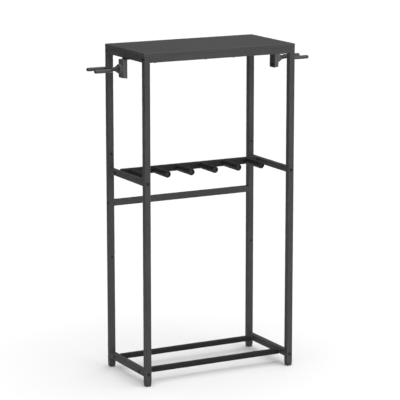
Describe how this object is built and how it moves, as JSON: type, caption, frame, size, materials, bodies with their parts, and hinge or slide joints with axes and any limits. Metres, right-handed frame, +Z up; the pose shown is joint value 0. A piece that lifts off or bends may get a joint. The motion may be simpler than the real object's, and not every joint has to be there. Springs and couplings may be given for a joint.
{
  "type": "guitar rack",
  "caption": "Free-standing rack of black square tube with a top board, padded bottom bars, a padded neck bar with pegs, and swivelling padded hangers on both sides.",
  "frame": {"origin": "on the floor, at the centre of the footprint", "axes": "+X to the right along the front, +Y from the front to the back, +Z up"},
  "size_m": [0.864, 0.3202, 1.19],
  "materials": {
    "frame_steel": "matte black powder coat",
    "board_laminate": "black wood-grain laminate on particle board",
    "bar_foam": "matte closed-cell foam",
    "yoke_sleeve": "satin rubber tube",
    "foot_plastic": "fine textured black plastic",
    "plug_plastic": "plain black plastic",
    "hanger_plastic": "satin moulded black plastic",
    "collar_rubber": "satin moulded rubber",
    "hanger_steel": "matte black powder coat",
    "black_fasteners": "black oxide",
    "zinc_steel": "zinc plated"
  },
  "bodies": {
    "rack": {"board_screws": "black_fasteners", "bottom_front_bar": "frame_steel", "bottom_front_foam": "bar_foam", "bottom_left_rail": "frame_steel", "bottom_rear_bar": "frame_steel", "bottom_rear_foam": "bar_foam", "bottom_right_rail": "frame_steel", "foot_cap_front_left": "foot_plastic", "foot_cap_front_right": "foot_plastic", "foot_cap_rear_left": "foot_plastic", "foot_cap_rear_right": "foot_plastic", "hanger_base_screws": "black_fasteners", "hanger_bracket_screws": "black_fasteners", "left_hanger_base": "hanger_plastic", "left_hanger_bracket": "hanger_steel", "long_rail_bolts": "black_fasteners", "mid_left_rail": "frame_steel", "mid_right_rail": "frame_steel", "neck_bar": "frame_steel", "neck_bar_foam": "bar_foam", "neck_peg_1": "frame_steel", "neck_peg_2": "frame_steel", "neck_peg_3": "frame_steel", "neck_peg_4": "frame_steel", "neck_peg_5": "frame_steel", "neck_peg_6": "frame_steel", "peg_foam_1": "bar_foam", "peg_foam_2": "bar_foam", "peg_foam_3": "bar_foam", "peg_foam_4": "bar_foam", "peg_foam_5": "bar_foam", "peg_foam_6": "bar_foam", "peg_plugs": "plug_plastic", "post_front_left": "frame_steel", "post_front_right": "frame_steel", "post_rear_left": "frame_steel", "post_rear_right": "frame_steel", "rail_end_nuts": "zinc_steel", "rear_stretcher": "frame_steel", "right_hanger_base": "hanger_plastic", "right_hanger_bracket": "hanger_steel", "side_rail_bolts": "black_fasteners", "top_board": "board_laminate", "top_front_rail": "frame_steel", "top_left_rail": "frame_steel", "top_rear_rail": "frame_steel", "top_right_rail": "frame_steel"},
    "left_yoke": {"left_swivel_collar": "collar_rubber", "left_swivel_nut": "zinc_steel", "left_swivel_washer": "zinc_steel", "left_yoke": "hanger_steel", "left_yoke_front_sleeve": "yoke_sleeve", "left_yoke_rear_sleeve": "yoke_sleeve"},
    "right_yoke": {"right_swivel_collar": "collar_rubber", "right_swivel_nut": "zinc_steel", "right_swivel_washer": "zinc_steel", "right_yoke": "hanger_steel", "right_yoke_front_sleeve": "yoke_sleeve", "right_yoke_rear_sleeve": "yoke_sleeve"}
  },
  "joints": [
    {"name": "left_yoke_swivel", "type": "hinge", "parent": "rack", "child": "left_yoke", "pos_m": [-0.3155, 0, 1.12], "axis": [-1, 0, 0], "continuous": true},
    {"name": "right_yoke_swivel", "type": "hinge", "parent": "rack", "child": "right_yoke", "pos_m": [0.3155, 0, 1.12], "axis": [1, 0, 0], "continuous": true}
  ]
}
